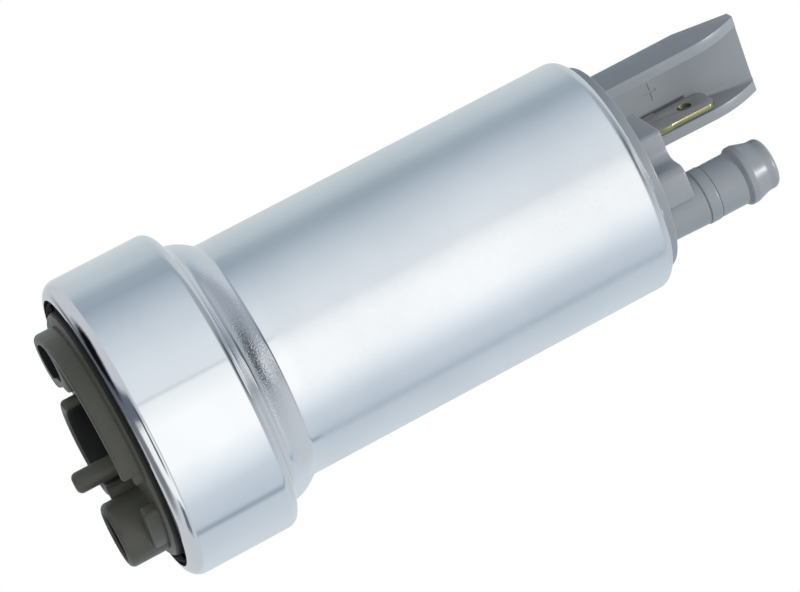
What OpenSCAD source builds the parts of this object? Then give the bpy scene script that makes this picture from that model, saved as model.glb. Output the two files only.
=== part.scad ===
// In-tank fuel pump: a regenerative turbine pump and its DC motor in one stepped steel can.
// The Z axis is the pump axis and points to the outlet. The open side of the connector faces +X.
// Heights below are counted from the rim of the can at the inlet. The finished pieces are moved
// down, so that the origin lies halfway along the straight body. All sizes are in millimetres.

/* [Motor housing] */
// Outer radius of the can around the motor
can_r = 19.5; // [19:0.1:21]
// Outer radius of the wide collar around the pump section
collar_r = 24.8; // [24.4:0.1:27]
// Thickness of the drawn steel
can_wall = 1.2; // [0.8:0.1:1.3]
// Top of the straight part of the collar
collar_top = 17; // [16.6:0.1:20]
// Outside length of the can
can_top = 87.2; // [86:0.1:92]
// Outer radius of the rolled corner at the inlet
inlet_roll = 2.3; // [2:0.1:3]
// Outer radius of the rolled corner at the outlet
outlet_roll = 2; // [1.8:0.1:2.5]
// Height of the neck between the collar and the motor
neck_h = 5.2; // [4:0.1:7]

/* [Inlet cover] */
// Gap between the rolled rim and the step that shows inside it
spigot_gap = 1.2; // [0.6:0.1:2]
// How far the step stands out of the rim
spigot_out = 0.4; // [0:0.1:1]
// Depth of the outside floor below the rim plane
floor_out = 1; // [0.8:0.1:2]
// How far the outside floor lies inside the step
floor_step = 1.6; // [0.8:0.1:2.4]
// Top face of the cover, where the impeller chamber starts
cover_top = 5.2; // [4.6:0.1:6]
// How far the walls of the outside stand out
wall_out = 4; // [3:0.1:6]
// How far the long wall lies inside the floor's edge
wall_edge = 1.1; // [0.4:0.1:2]
// Thickness of the moulded walls
wall_t = 1.3; // [0.8:0.1:2]
// Half the outside width of the closed kidney pocket
kidney_half = 4.3; // [3.4:0.1:4.8]
// Outer radius of the half-round hub wall
hub_r = 8.1; // [7:0.1:9]
// How far the hub wall stands out
hub_out = 5.1; // [3:0.1:7]
// Outer radius of the inlet nozzle
nozzle_r = 5.3; // [4.6:0.1:5.6]
// Bore radius of the inlet nozzle
nozzle_bore = 4.2; // [3:0.1:4.4]
// How far the nozzle stands out
nozzle_out = 7.35; // [5:0.05:15]
// How far the nozzle's axis lies inside the long wall's outer face
nozzle_inset = 4.8; // [4.4:0.1:5.6]
// Angle of the nozzle about the pump axis
nozzle_angle = 56.7; // [50:0.1:62]
// Radius of the strainer locating post
post_r = 1.7; // [1.2:0.1:2.2]
// How far the post stands out
post_out = 9.2; // [6:0.1:14]
// Distance of the post from the pump axis
post_at = 5; // [4.6:0.1:5]
// Angle of the post about the pump axis
post_angle = 26; // [20:1:40]

/* [Pump section] */
// Wall of the spacer ring around the impeller
ring_wall = 3.1; // [2:0.1:4]
// Thickness of the impeller
impeller_h = 3.8; // [3:0.1:5]
// Number of vane pockets in the impeller
vane_count = 37; // [23:1:43]
// Depth of the flow channel above and below the impeller
channel_depth = 1.6; // [1:0.1:2]
// Radial width of the flow channel
channel_w = 3.6; // [3:0.1:4]
// Height of the bearing boss on the upper channel plate
boss_h = 3.5; // [2:0.1:5]

/* [Motor] */
// Shaft radius
shaft_r = 2.5; // [2.2:0.1:2.7]
// Depth of the drive flat on the shaft
flat_depth = 0.5; // [0.3:0.1:0.8]
// Outer radius of both bearing bushes
bush_r = 4; // [3.6:0.1:4.4]
// Length of each bearing bush
bush_len = 7; // [5:0.1:8]
// Thickness of the flux ring
flux_t = 2.05; // [1.5:0.05:2.6]
// Length of the laminated core
core_len = 24; // [18:0.5:26]
// Number of slots and commutator bars
slot_count = 8; // [6:2:10]
// Gap between the core and the magnets
air_gap = 0.5; // [0.4:0.05:0.8]
// Thickness of the magnets
magnet_t = 3; // [2:0.1:3.2]
// Angle that each magnet covers
magnet_span = 130; // [110:5:140]
// Height of the end turns of the winding
end_turn_h = 4; // [3:0.1:5]
// Outer radius of the commutator
comm_r = 10.4; // [10.3:0.1:11]
// Width of the slots between commutator bars
comm_slot = 0.6; // [0.4:0.1:1]

/* [Brushes and chokes] */
// Height of the brush holder
holder_h = 13; // [12.8:0.1:14]
// Edge of the commutator that the brushes leave free
brush_edge = 0.15; // [0.05:0.05:0.4]
// Radial width of a brush
brush_w = 4.5; // [4:0.1:4.6]
// Width of a brush across the radius
brush_t = 6; // [5.8:0.1:6.4]
// Length of a new brush
brush_len = 9; // [8:0.1:9.4]
// Wire radius of the brush springs
brush_wire = 0.25; // [0.2:0.05:0.3]
// Radius of the brush leads
lead_r = 0.4; // [0.3:0.05:0.45]
// Wire radius of the chokes
choke_wire = 0.4; // [0.3:0.05:0.45]
// Radius of the ferrite cores
ferrite_r = 1.5; // [1.2:0.1:1.5]
// Turns of each choke
choke_turns = 5; // [3:1:5]

/* [Outlet cover] */
// Height of the round neck above the can
neck_out = 1.45; // [0.8:0.05:3]
// Height of the raised pad above the neck
pad_h = 4.4; // [3:0.1:6]
// Thickness of the cover above its wiring space
deck_t = 4.15; // [3.5:0.05:5]
// How far the front of the main pad lies inside the neck
pad_inside = 5.45; // [4.5:0.05:6.5]
// Back of the main pad
pad_back = 2.5; // [0:0.1:4]
// Side of the main pad below the connector mark
pad_side = 8.35; // [7:0.05:9]
// Side of the valve pad
valve_pad_side = 3.6; // [3.4:0.05:5]

/* [Connector] */
// Centre line of the connector beside the pump axis
conn_y = -2.15; // [-2.3:0.05:-2]
// Outside width of the shroud
conn_w = 13.3; // [13:0.1:14]
// Thickness of the shroud's side walls
conn_wall = 1.77; // [1.2:0.01:1.8]
// How far the shroud's back face lies inside the neck
conn_edge = 1.95; // [1.4:0.05:2.2]
// Thickness of the shroud's back wall
conn_back_t = 1.1; // [0.9:0.1:1.2]
// Thickness of the shroud's back at its end, where the free edges run into it
conn_end_t = 1.8; // [1.6:0.1:2.6]
// Depth of the shroud from its back to its free edges
conn_depth = 7.3; // [7:0.05:9]
// Height of the shroud above the neck
conn_h = 29.7; // [27:0.05:40]
// Height where the back of the shroud starts to lean forward
lean_h = 20.65; // [18:0.05:23]
// How far the back has leaned at the end
lean = 2.55; // [1:0.05:3]
// Height where the free edges start to curve back
sweep_h = 20.35; // [15:0.05:22]
// Inner corner radius of the shroud
conn_fillet = 1; // [0.6:0.1:2.8]
// Height of the shroud's floor
conn_floor_h = 3.35; // [2.5:0.05:5]
// Thickness of both blades
blade_t = 0.8; // [0.6:0.1:0.9]
// Width of the positive blade
blade_w = 6.3; // [5.6:0.1:6.3]
// Width of the negative blade
blade2_w = 2.8; // [2.4:0.1:3]
// Height of the blades' ends above the neck
blade_h = 21.1; // [19:0.05:24]
// Distance from the connector's centre line to the positive blade
blade_at = 3.25; // [3.1:0.05:3.4]
// Distance from the connector's centre line to the negative blade
blade2_at = 3.7; // [3.4:0.05:3.8]
// Gap between the back wall and the positive blade
blade_gap = 1.2; // [1:0.1:1.6]
// Gap between the back wall and the negative blade
blade2_gap = 0.9; // [0.8:0.1:1.3]

/* [Outlet barb] */
// Rim of the neck that the barb leaves free
barb_edge = 0.3; // [0.1:0.05:0.8]
// Angle of the barb about the pump axis
barb_angle = 24; // [22:0.5:28]
// Radius of the barb's stem
barb_r = 4.35; // [4.1:0.05:4.5]
// Radius of the barb's ridge
ridge_r = 4.9; // [4.6:0.05:5.4]
// Radius of the barb's tip
tip_r = 4.15; // [3.9:0.05:4.3]
// Height of the barb above the neck
barb_h = 19.1; // [19:0.05:26]
// Height where the ridge starts
ridge_h = 13.25; // [12:0.05:14.5]
// Height of the ring band on the stem
band_at = 6.45; // [5.5:0.05:9]
// Bore radius around the check valve
barb_bore = 3.3; // [3.1:0.05:3.4]
// Bore radius at the tip
tip_bore = 2.7; // [2.2:0.05:2.8]

/* [Valves] */
// Height of the check valve seat above the wiring space
check_up = 1.5; // [1.2:0.1:2.4]
// Height of the check valve seat
check_seat_h = 2.5; // [2:0.1:3]
// Radius of the check valve's head
check_head_r = 2.6; // [2.4:0.05:2.7]
// Radius of the check valve's stem
check_stem_r = 0.9; // [0.7:0.05:1]
// Wire radius of the check valve spring
check_wire = 0.25; // [0.2:0.05:0.3]
// How far the relief valve lies inside the neck
relief_edge = 4; // [3.8:0.1:4.2]
// Angle of the relief valve about the pump axis
relief_angle = -4.7; // [-5:0.1:-4]
// Bore radius of the relief valve
relief_bore = 1.9; // [1.8:0.05:2]
// Radius of the relief valve ball
ball_r = 1.3; // [1.2:0.05:1.4]
// Wire radius of the relief valve spring
relief_wire = 0.2; // [0.15:0.05:0.25]

/* [Fits] */
// Radial clearance of the turning shaft in its bushes
shaft_clear = 0.03; // [0.01:0.01:0.08]
// Gap around pieces that are seated by hand or by press
seat_clear = 0.05; // [0.02:0.01:0.1]
// Gap around turning or sliding pieces that don't seal
run_clear = 0.3; // [0.2:0.05:0.4]
// Gap at each face of the impeller
face_clear = 0.1; // [0.05:0.01:0.2]
// Gap of the brushes in their tunnels
brush_clear = 0.15; // [0.1:0.05:0.2]

/* [Hidden] */
$fn = 72;
hair = 0.03;
wire_sides = 6;
rings_per_turn = 8;

can_bore = can_r - can_wall;
collar_bore = collar_r - can_wall;
collar_step = collar_r - can_r;
lip_r = collar_r - inlet_roll;
shoulder_roll = min(1.9, 0.36 * collar_step);
bulge_out = min(2.3, 0.44 * collar_step);
bulge_r = 5.3;
bulge_foot = 0.48;
bulge_angle = acos((bulge_r - bulge_out + bulge_foot) / bulge_r);
neck_z = collar_top + shoulder_roll + 0.5;
motor_z = neck_z + neck_h;
seat_z = neck_z - can_wall - 0.6;
shoulder_top = can_top - outlet_roll;
datum_z = (motor_z + shoulder_top) / 2;

spigot_r = lip_r - spigot_gap;
floor_r = spigot_r - floor_step;
wall_r = floor_r - wall_edge;
kidney_r = wall_r - kidney_half;
nozzle_at = wall_r - nozzle_inset;
block_t = 2.6;
block_out = 0.82 * wall_out;
rib_start = hub_r - wall_t - 0.3;
rib_end = nozzle_at - nozzle_r + 1;

plate_r = collar_bore - 4 * seat_clear;
chamber_r = plate_r - ring_wall;
impeller_r = chamber_r - run_clear;
chamber_top = cover_top + impeller_h + 2 * face_clear;
body_top = seat_z - 2 * seat_clear;
body_h = body_top - chamber_top;
channel_in = chamber_r - channel_w;

seal_wire = 0.6;
seal_groove_w = 1.6;
seal_groove_d = 1.2;
seal_gap = 0.05;
seal_land = 0.6;
inlet_seal_z = cover_top - seal_land - seal_groove_w;

button_h = 1.2;
button_r = 3;
button_z = 2;
shaft_z = button_z + button_h + seat_clear;

rim_h = 3.2;
holder_top = shoulder_top - rim_h;
holder_z = holder_top - holder_h;
comm_base_h = 4;
comm_bar_h = 2.6;
comm_face = holder_z - 4 * seat_clear;
comm_base_z = comm_face - comm_bar_h - comm_base_h;
comm_gap = 1.2;
core_z = comm_base_z - comm_gap - end_turn_h - core_len;
bush_hold_r = bush_r + 1.2;
boss_r = bush_hold_r + 1.8;
lower_bush_z = body_top + boss_h - 1 - bush_len;
upper_bush_z = holder_z + 4;
shaft_top = upper_bush_z + bush_len - 0.5;
flux_r = can_bore - 2 * seat_clear;
flux_in = flux_r - flux_t;
magnet_out = flux_in - seat_clear;
magnet_in = magnet_out - magnet_t;
core_r = magnet_in - air_gap;
magnet_z = core_z - 3;
magnet_len = core_len + 8;
flux_z = magnet_z - 2.8;
insulator_t = 0.4;
slot_r = 2.3;
slot_at = core_r - slot_r - 1.4;
slot_mouth = 1.4;
slot_liner = 0.15;

brush_at = comm_r - brush_w / 2 - brush_edge;
brush_z = comm_face + seat_clear;
brush_top = brush_z + brush_len;
tunnel_wall = 1;
tunnel_w = brush_w + 2 * brush_clear;
tunnel_t = brush_t + 2 * brush_clear;
holder_r = can_bore - 4 * seat_clear;
holder_in = holder_r - 1.7;
plate_z = holder_z + 2;
plate_t = 1.5;
tunnel_z = holder_z + 1;
spring_top = holder_top - seat_clear;
brush_spring_r = 1.6;
lead_x = -brush_t / 2 + lead_r + 0.15;
lead_run_z = holder_top - 0.8;
foot_z = holder_top - 0.4;
foot_t = 0.8;
foot_w = 2;

neck_r = can_r - outlet_roll - 0.15;
deck_top = can_top + neck_out;
deck_z = deck_top - deck_t;
pad_top = deck_top + pad_h;
pad_front = neck_r - pad_inside;
pad_inset = 0.15;
pad_cut = 0.8;
pad_cove = 1.6;
shoulder_r = can_bore - 3 * seat_clear;
roll_in = outlet_roll - can_wall;
wiring_r = shoulder_r - seal_groove_d - 1.35;
outlet_seal_z = holder_top + seal_land + 0.2;

conn_back = neck_r - conn_edge;
conn_front = conn_back - conn_depth;
conn_side = conn_w / 2;
conn_in = conn_side - conn_wall;
conn_inner = conn_back - conn_back_t;
conn_top = deck_top + conn_h;
conn_floor = deck_top + conn_floor_h;
lean_from = deck_top + lean_h;
sweep_from = deck_top + sweep_h;
sweep = conn_depth - lean - conn_end_t;
end_land = 0.15;
inner_lean = lean + conn_end_t - conn_back_t - end_land;
blade_top = deck_top + blade_h;
blade_back = conn_inner - blade_gap;
blade_mid = blade_back - blade_w / 2;
blade2_back = conn_inner - blade2_gap;
blade2_mid = blade2_back - blade2_w / 2;
pos_y = conn_y + blade_at;
neg_y = conn_y - blade2_at - blade_t;
shank_w = 4;
shank2_w = 2;

choke_x = blade_mid + 0.85;
choke_y = brush_at;
choke_coil_r = ferrite_r + 0.1 + choke_wire;
choke_leg = choke_coil_r + 2 * choke_wire + 0.6;
choke_base = plate_z + plate_t;
choke_top = holder_top - 1.7;
choke_low = choke_base + choke_wire + 0.2;

barb_at = neck_r - barb_edge - barb_r;
barb_x = barb_at * cos(barb_angle);
barb_y = barb_at * sin(barb_angle);
barb_top = deck_top + barb_h;
ridge_z = deck_top + ridge_h;
band_z = deck_top + band_at;
band_h = 1.9;
stem_taper = 0.25;
ridge_land = 1.3;
ridge_rise = 0.7;
ridge_fall = 1.8;
tip_h = 4.2;
guide_h = 3;
guide_top = barb_top - tip_h;
guide_z = guide_top - guide_h;
check_z = deck_z + check_up;
head_z = check_z + check_seat_h + seat_clear;
head_h = 2;
check_port = 2;
relief_at = neck_r - relief_edge;
relief_x = relief_at * cos(relief_angle);
relief_y = relief_at * sin(relief_angle);
relief_seat_z = deck_z;
relief_seat_h = 2;
relief_port = 1;
relief_end = pad_top - 1.1;
ball_z = relief_seat_z + relief_seat_h + sqrt(ball_r * ball_r - relief_port * relief_port) + hair;

steel = [0.80, 0.82, 0.85];
olive = [0.36, 0.36, 0.32];
slate = [0.45, 0.48, 0.52];

// Points of an arc in a profile, from angle a0 to angle a1
function arc(cx, cy, r, a0, a1, n = 8) =
    [for (i = [0 : n]) let (a = a0 + (a1 - a0) * i / n) [cx + r * cos(a), cy + r * sin(a)]];

// A polar place as X and Y
function polar(r, a) = [r * cos(a), r * sin(a)];

function unit(v) = v / norm(v);

// Direction of a path at point i
function heading(p, i) =
    i == 0 ? unit(p[1] - p[0])
    : i == len(p) - 1 ? unit(p[i] - p[i - 1])
    : unit(unit(p[i + 1] - p[i]) + unit(p[i] - p[i - 1]));

function square_to(v, t) = unit(v - (v * t) * t);

// Cross vectors along a path, each carried over from the one before it
function carried(p) =
    let (t0 = heading(p, 0))
    [for (
        i = 0, v = square_to(abs(t0.z) < 0.9 ? [0, 0, 1] : [1, 0, 0], t0);
        i < len(p);
        i = i + 1, v = i < len(p) ? square_to(v, heading(p, i)) : v
    ) v];

// Points of a helix about a vertical axis, from height z0 to z1
function helix(r, z0, z1, turns, a0 = 0) =
    let (n = ceil(turns * rings_per_turn))
    [for (i = [0 : n]) let (a = a0 + 360 * turns * i / n)
        [r * cos(a), r * sin(a), z0 + (z1 - z0) * i / n]];

// Clear height between neighbouring turns of a helix
function turn_gap(z0, z1, turns, wire) = abs(z1 - z0) / turns - 2 * wire;

// One unbroken round wire along a path
module wire(path, r) {
    n = wire_sides;
    last = len(path) - 1;
    side = carried(path);
    points = [for (i = [0 : last]) let (t = heading(path, i), u = side[i], v = cross(t, u))
        for (k = [0 : n - 1]) path[i] + r * (cos(360 * k / n) * u + sin(360 * k / n) * v)];
    walls = [for (i = [0 : last - 1]) for (k = [0 : n - 1])
        let (a = i * n + k, b = i * n + (k + 1) % n)
        each [[a, a + n, b], [b, a + n, b + n]]];
    caps = [for (k = [1 : n - 2]) each [[0, k, k + 1], [last * n, last * n + k + 1, last * n + k]]];
    polyhedron(points, concat(walls, caps));
}

// Moves a piece down to the origin on the straight body
module placed() {
    translate([0, 0, -datum_z]) children();
}

// A round tube between two heights
module sleeve(r_out, r_in, z0, z1) {
    translate([0, 0, z0]) difference() {
        cylinder(r = r_out, h = z1 - z0);
        translate([0, 0, -1]) cylinder(r = r_in, h = z1 - z0 + 2);
    }
}

// A ring sector between two radii, two angles and two heights
module sector(r_in, r_out, a0, a1, z0, z1) {
    rotate([0, 0, a0]) rotate_extrude(angle = a1 - a0)
        translate([r_in, z0]) square([r_out - r_in, z1 - z0]);
}

// A ring sector with round ends, a hair narrower than the sector
module round_sector(r_in, r_out, a0, a1, z0, z1) {
    sector(r_in, r_out, a0, a1, z0, z1);
    for (a = [a0, a1]) {
        end = polar((r_in + r_out) / 2, a);
        translate([end.x, end.y, z0]) cylinder(r = (r_out - r_in) / 2 - hair, h = z1 - z0);
    }
}

// The ring of an O-ring seal
module o_ring(r, z) {
    translate([0, 0, z]) rotate_extrude() translate([r, 0]) circle(r = seal_wire, $fn = 24);
}

// Drawn steel can with a wide collar for the pump section and both rims rolled in
module motor_housing() {
    outside = concat(
        [[lip_r, 0]],
        arc(lip_r, inlet_roll, inlet_roll, -90, 0),
        arc(collar_r - shoulder_roll, collar_top, shoulder_roll, 0, 90),
        [[can_r + bulge_out + 0.05, neck_z - 0.2]],
        arc(can_r - bulge_r + bulge_out, neck_z, bulge_r, 0, bulge_angle),
        [[can_r, motor_z]],
        arc(can_r - outlet_roll, shoulder_top, outlet_roll, 0, 90)
    );
    inside = concat(
        arc(can_r - outlet_roll, shoulder_top, roll_in, 90, 0),
        [[can_bore, motor_z - 0.8]],
        arc(can_r - bulge_r + bulge_out, neck_z, bulge_r - can_wall, bulge_angle, 0),
        [[can_r + bulge_out - can_wall, seat_z], [collar_r - shoulder_roll, seat_z],
         [collar_bore, collar_top - 0.4]],
        arc(lip_r, inlet_roll, inlet_roll - can_wall, 0, -90)
    );
    placed() color(steel) rotate_extrude() polygon(concat(outside, inside));
}

// Dark moulded inlet cover with its nozzle, walls, pocket and strainer post
module inlet_cover() {
    a_port = nozzle_angle;
    port = polar(channel_in + channel_w / 2 - 0.2, a_port);
    nozzle = polar(nozzle_at, nozzle_angle);
    post = polar(post_at, post_angle);
    flange_r = plate_r;
    roll = inlet_roll - can_wall;
    placed() color(olive) difference() {
        union() {
            rotate_extrude() polygon([
                [0, -floor_out], [floor_r, -floor_out], [spigot_r, -spigot_out],
                [spigot_r, can_wall + seat_clear], [lip_r, can_wall + seat_clear],
                [flange_r, inlet_roll + seat_clear], [flange_r, cover_top], [0, cover_top]
            ]);
            round_sector(wall_r - wall_t, wall_r, -86, -6.5, -wall_out, 0);
            round_sector(kidney_r - kidney_half, wall_r, -126, -89, -wall_out, 0);
            sector(wall_r - block_t, wall_r, 17, 50, -block_out, 0);
            round_sector(hub_r - wall_t, hub_r, 58, 243, -hub_out, 0);
            rotate([0, 0, nozzle_angle]) translate([rib_start, -wall_t / 2, -hub_out])
                cube([rib_end - rib_start, wall_t, hub_out]);
            translate([nozzle.x, nozzle.y, -nozzle_out]) cylinder(r = nozzle_r, h = nozzle_out);
            translate([post.x, post.y, -post_out + 0.6]) cylinder(r = post_r, h = post_out - 0.6);
            translate([post.x, post.y, -post_out]) cylinder(r1 = post_r - 0.6, r2 = post_r, h = 0.6);
        }
        round_sector(kidney_r - kidney_half + wall_t, wall_r - wall_t, -126, -89, -wall_out - 1, 1);
        translate([nozzle.x, nozzle.y, -nozzle_out - 1])
            cylinder(r = nozzle_bore, h = nozzle_out + 1 + button_z);
        translate([port.x, port.y, 1]) cylinder(r = 2.6, h = cover_top);
        sector(channel_in, chamber_r - 0.1, a_port, a_port + 310, cover_top - channel_depth, cover_top + 1);
        translate([0, 0, button_z]) cylinder(r = button_r + seat_clear, h = cover_top);
        seal_groove(plate_r, inlet_seal_z);
        rotate([0, 0, 170]) translate([channel_in + 1.4, 0, -2]) cylinder(r = 0.6, h = cover_top);
    }
}

// Groove for an O-ring in the side of a round plate
module seal_groove(r, z) {
    sleeve(r + 1, r - seal_groove_d, z, z + seal_groove_w);
}

module inlet_cover_seal() {
    placed() color([0.08, 0.08, 0.08])
        o_ring(plate_r - seal_groove_d + seal_gap + seal_wire, inlet_seal_z + seal_groove_w / 2);
}

// Hard button that carries the shaft's end
module thrust_button() {
    placed() color([0.7, 0.7, 0.72]) translate([0, 0, button_z]) cylinder(r = button_r, h = button_h);
}

// Outline of the shaft's driven end, grown by a clearance
module d_outline(gap) {
    intersection() {
        circle(r = shaft_r + gap);
        translate([-shaft_r - 1, -shaft_r - 1])
            square([2 * shaft_r + 1 - flat_depth + gap, 2 * shaft_r + 2]);
    }
}

// Impeller with a ring of vane pockets inside its rim and a D-shaped bore
module impeller() {
    pocket_in = channel_in + 0.2;
    pocket_out = impeller_r - 0.7;
    vane_t = 0.9;
    balance_at = (channel_in + shaft_r) / 2;
    placed() color([0.28, 0.25, 0.2]) translate([0, 0, cover_top + face_clear]) linear_extrude(impeller_h)
        difference() {
            circle(r = impeller_r);
            d_outline(shaft_clear);
            for (i = [0 : vane_count - 1]) rotate([0, 0, 360 * i / vane_count])
                translate([pocket_in, -(PI * pocket_in / vane_count - vane_t / 2)])
                    square([pocket_out - pocket_in, 2 * (PI * pocket_in / vane_count - vane_t / 2)]);
            for (i = [0 : 2]) rotate([0, 0, 120 * i]) translate([balance_at, 0]) circle(r = 1.2);
        }
}

module impeller_ring() {
    placed() color([0.7, 0.72, 0.74]) sleeve(plate_r, chamber_r, cover_top, chamber_top);
}

// Upper channel plate with the lower bearing's boss and the pressure port
module pump_body() {
    port = polar(chamber_r - channel_w / 2, nozzle_angle - 48);
    placed() color([0.62, 0.64, 0.66]) difference() {
        union() {
            rotate_extrude() polygon([
                [0, chamber_top], [plate_r, chamber_top], [plate_r, collar_top - 0.6],
                [collar_r - shoulder_roll - 0.4, body_top], [0, body_top]
            ]);
            translate([0, 0, body_top - 1]) cylinder(r = boss_r, h = boss_h + 1);
        }
        sector(channel_in, chamber_r - 0.1, nozzle_angle, nozzle_angle + 310,
            chamber_top - 1, chamber_top + channel_depth);
        translate([port.x, port.y, chamber_top]) cylinder(r = 1.5, h = body_h + 1);
        translate([0, 0, lower_bush_z - seat_clear]) cylinder(r = bush_r + seat_clear, h = body_h + boss_h);
        translate([0, 0, chamber_top - 1]) cylinder(r = shaft_r + run_clear, h = body_h);
        for (i = [0 : 5])
            sector(boss_r + 2, channel_in - 1.7, 60 * i + 8, 60 * i + 52, chamber_top + 3.5, body_top + 1);
    }
}

// Sintered bush for the shaft
module bush(z) {
    placed() color([0.62, 0.47, 0.28]) sleeve(bush_r, shaft_r + shaft_clear, z, z + bush_len);
}

module lower_bearing() { bush(lower_bush_z); }

module upper_bearing() { bush(upper_bush_z); }

// Ground shaft with a drive flat for the impeller and chamfered ends
module motor_shaft() {
    chamfer = 0.4;
    flat_top = chamber_top + 0.6;
    placed() color([0.82, 0.83, 0.85]) difference() {
        rotate_extrude() polygon([
            [0, shaft_z], [shaft_r - chamfer, shaft_z], [shaft_r, shaft_z + chamfer],
            [shaft_r, shaft_top - chamfer], [shaft_r - chamfer, shaft_top], [0, shaft_top]
        ]);
        translate([shaft_r - flat_depth, -shaft_r - 1, shaft_z - 1])
            cube([shaft_r, 2 * shaft_r + 2, flat_top - shaft_z + 1]);
    }
}

// Outline of one lamination of the armature
module lamination() {
    difference() {
        circle(r = core_r);
        circle(r = shaft_r + seat_clear);
        for (i = [0 : slot_count - 1]) rotate([0, 0, 360 * i / slot_count]) {
            translate([slot_at, 0]) circle(r = slot_r);
            translate([slot_at, -slot_mouth / 2]) square([core_r, slot_mouth]);
        }
    }
}

module armature_core() {
    placed() color([0.5, 0.51, 0.53]) translate([0, 0, core_z]) linear_extrude(core_len) lamination();
}

module slot_insulators() {
    placed() color([0.75, 0.2, 0.12])
        for (z = [core_z - insulator_t, core_z + core_len])
            translate([0, 0, z]) linear_extrude(insulator_t) lamination();
}

// Copper that fills the slots, with the round end turns at both ends
module armature_windings() {
    turns_in = shaft_r + 1.8;
    turns_out = core_r - 1;
    bevel = 1;
    placed() color([0.72, 0.36, 0.16]) {
        for (i = [0 : slot_count - 1]) rotate([0, 0, 360 * i / slot_count])
            translate([slot_at, 0, core_z - insulator_t - hair])
                cylinder(r = slot_r - slot_liner, h = core_len + 2 * insulator_t + 2 * hair);
        for (side = [0, 1])
            translate([0, 0, side == 0 ? core_z - insulator_t : core_z + core_len + insulator_t])
                mirror([0, 0, 1 - side]) rotate_extrude() polygon([
                    [turns_in, 0], [turns_out, 0], [turns_out, end_turn_h - bevel],
                    [turns_out - bevel, end_turn_h], [turns_in + bevel, end_turn_h],
                    [turns_in, end_turn_h - bevel]
                ]);
    }
}

module commutator_hub() {
    placed() color([0.12, 0.11, 0.1])
        sleeve(comm_r - 0.4, shaft_r + seat_clear, comm_base_z, comm_base_z + comm_base_h);
}

// Commutator bars with the hooks that hold the winding's wires
module commutator_bars() {
    bar_in = shaft_r + 1.1;
    half = comm_slot / 2;
    placed() color([0.75, 0.45, 0.22]) difference() {
        union() {
            sleeve(comm_r, bar_in, comm_base_z + comm_base_h, comm_face);
            for (i = [0 : slot_count - 1]) rotate([0, 0, 360 * (i + 0.5) / slot_count])
                translate([comm_r - 0.4, -0.6, comm_base_z]) cube([1, 1.2, comm_base_h + comm_bar_h - 0.8]);
        }
        for (i = [0 : slot_count - 1]) rotate([0, 0, 360 * i / slot_count])
            translate([0, -half, comm_base_z]) cube([comm_r + 2, comm_slot, comm_base_h + comm_bar_h + 1]);
        sleeve(comm_r - 0.4 + seat_clear, 0.1, comm_base_z - 1, comm_base_z + comm_base_h);
    }
}

module flux_ring() {
    placed() color([0.45, 0.46, 0.48]) sleeve(flux_r, flux_in, flux_z, holder_z);
}

// One ferrite magnet, centred on the angle a
module magnet(a) {
    placed() color([0.2, 0.2, 0.21])
        sector(magnet_in, magnet_out, a - magnet_span / 2, a + magnet_span / 2,
            magnet_z, magnet_z + magnet_len);
}

module magnet_north() { magnet(0); }

module magnet_south() { magnet(180); }

// Spring clips that press the magnets apart, one in each gap
module magnet_clips() {
    strip = 0.5;
    tab_angle = 2;
    half_gap = 90 - magnet_span / 2 - 1;
    low = magnet_z + 2;
    high = magnet_z + magnet_len - 2;
    placed() color([0.68, 0.69, 0.7]) for (a = [90, 270]) {
        sector(magnet_out - strip, magnet_out, a - half_gap, a + half_gap, low, high);
        for (t = [a - half_gap + 0.2, a + half_gap - tab_angle - 0.2])
            sector(magnet_out - 2.2, magnet_out - strip / 2, t, t + tab_angle, low + strip, high - strip);
    }
}

// Moulded holder with the brush tunnels, the upper bearing and the flow holes
module brush_holder() {
    hold_r = bush_hold_r - 0.1;
    flow_at = holder_in - 3.4;
    tunnel_out = [tunnel_t + 2 * tunnel_wall, tunnel_w + 2 * tunnel_wall];
    placed() color([0.86, 0.84, 0.76]) difference() {
        union() {
            sleeve(holder_r, holder_in, holder_z, holder_top);
            translate([0, 0, plate_z]) cylinder(r = holder_in + 0.5, h = plate_t);
            translate([0, 0, plate_z]) cylinder(r = hold_r, h = upper_bush_z + bush_len + 0.6 - plate_z);
            for (s = [-1, 1]) translate([-tunnel_out.x / 2, s * brush_at - tunnel_out.y / 2, tunnel_z])
                cube([tunnel_out.x, tunnel_out.y, spring_top - tunnel_z]);
        }
        for (s = [-1, 1]) {
            translate([-tunnel_t / 2, s * brush_at - tunnel_w / 2, tunnel_z - 1])
                cube([tunnel_t, tunnel_w, holder_h]);
            translate([-tunnel_out.x / 2 - 1, s * brush_at - lead_r - 0.3, lead_run_z - lead_r - 1.6])
                cube([tunnel_wall + 2, 2 * lead_r + 0.6, 4]);
        }
        translate([0, 0, upper_bush_z - seat_clear]) cylinder(r = bush_r + seat_clear, h = holder_h);
        translate([0, 0, plate_z - 1]) cylinder(r = shaft_r + run_clear, h = holder_h);
        for (a = [-35, 0, 35, 165, 195]) translate([polar(flow_at, a).x, polar(flow_at, a).y, plate_z - 1])
            cylinder(r = 2, h = plate_t + 2);
    }
}

// One carbon brush, on the side s of the shaft
module brush(s) {
    placed() color([0.14, 0.14, 0.15]) translate([-brush_t / 2, s * brush_at - brush_w / 2, brush_z])
        cube([brush_t, brush_w, brush_len]);
}

module positive_brush() { brush(1); }

module negative_brush() { brush(-1); }

// One brush spring, from the brush's back to the cover
module brush_spring(s) {
    turns = 3.5;
    z0 = brush_top + brush_wire + 0.02;
    z1 = spring_top - brush_wire;
    echo("brush spring, least gap", turn_gap(z0, z1, turns, brush_wire));
    placed() color([0.75, 0.76, 0.78]) translate([0.2, s * brush_at, 0])
        wire(helix(brush_spring_r, z0, z1, turns), brush_wire);
}

module positive_brush_spring() { brush_spring(1); }

module negative_brush_spring() { brush_spring(-1); }

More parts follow.
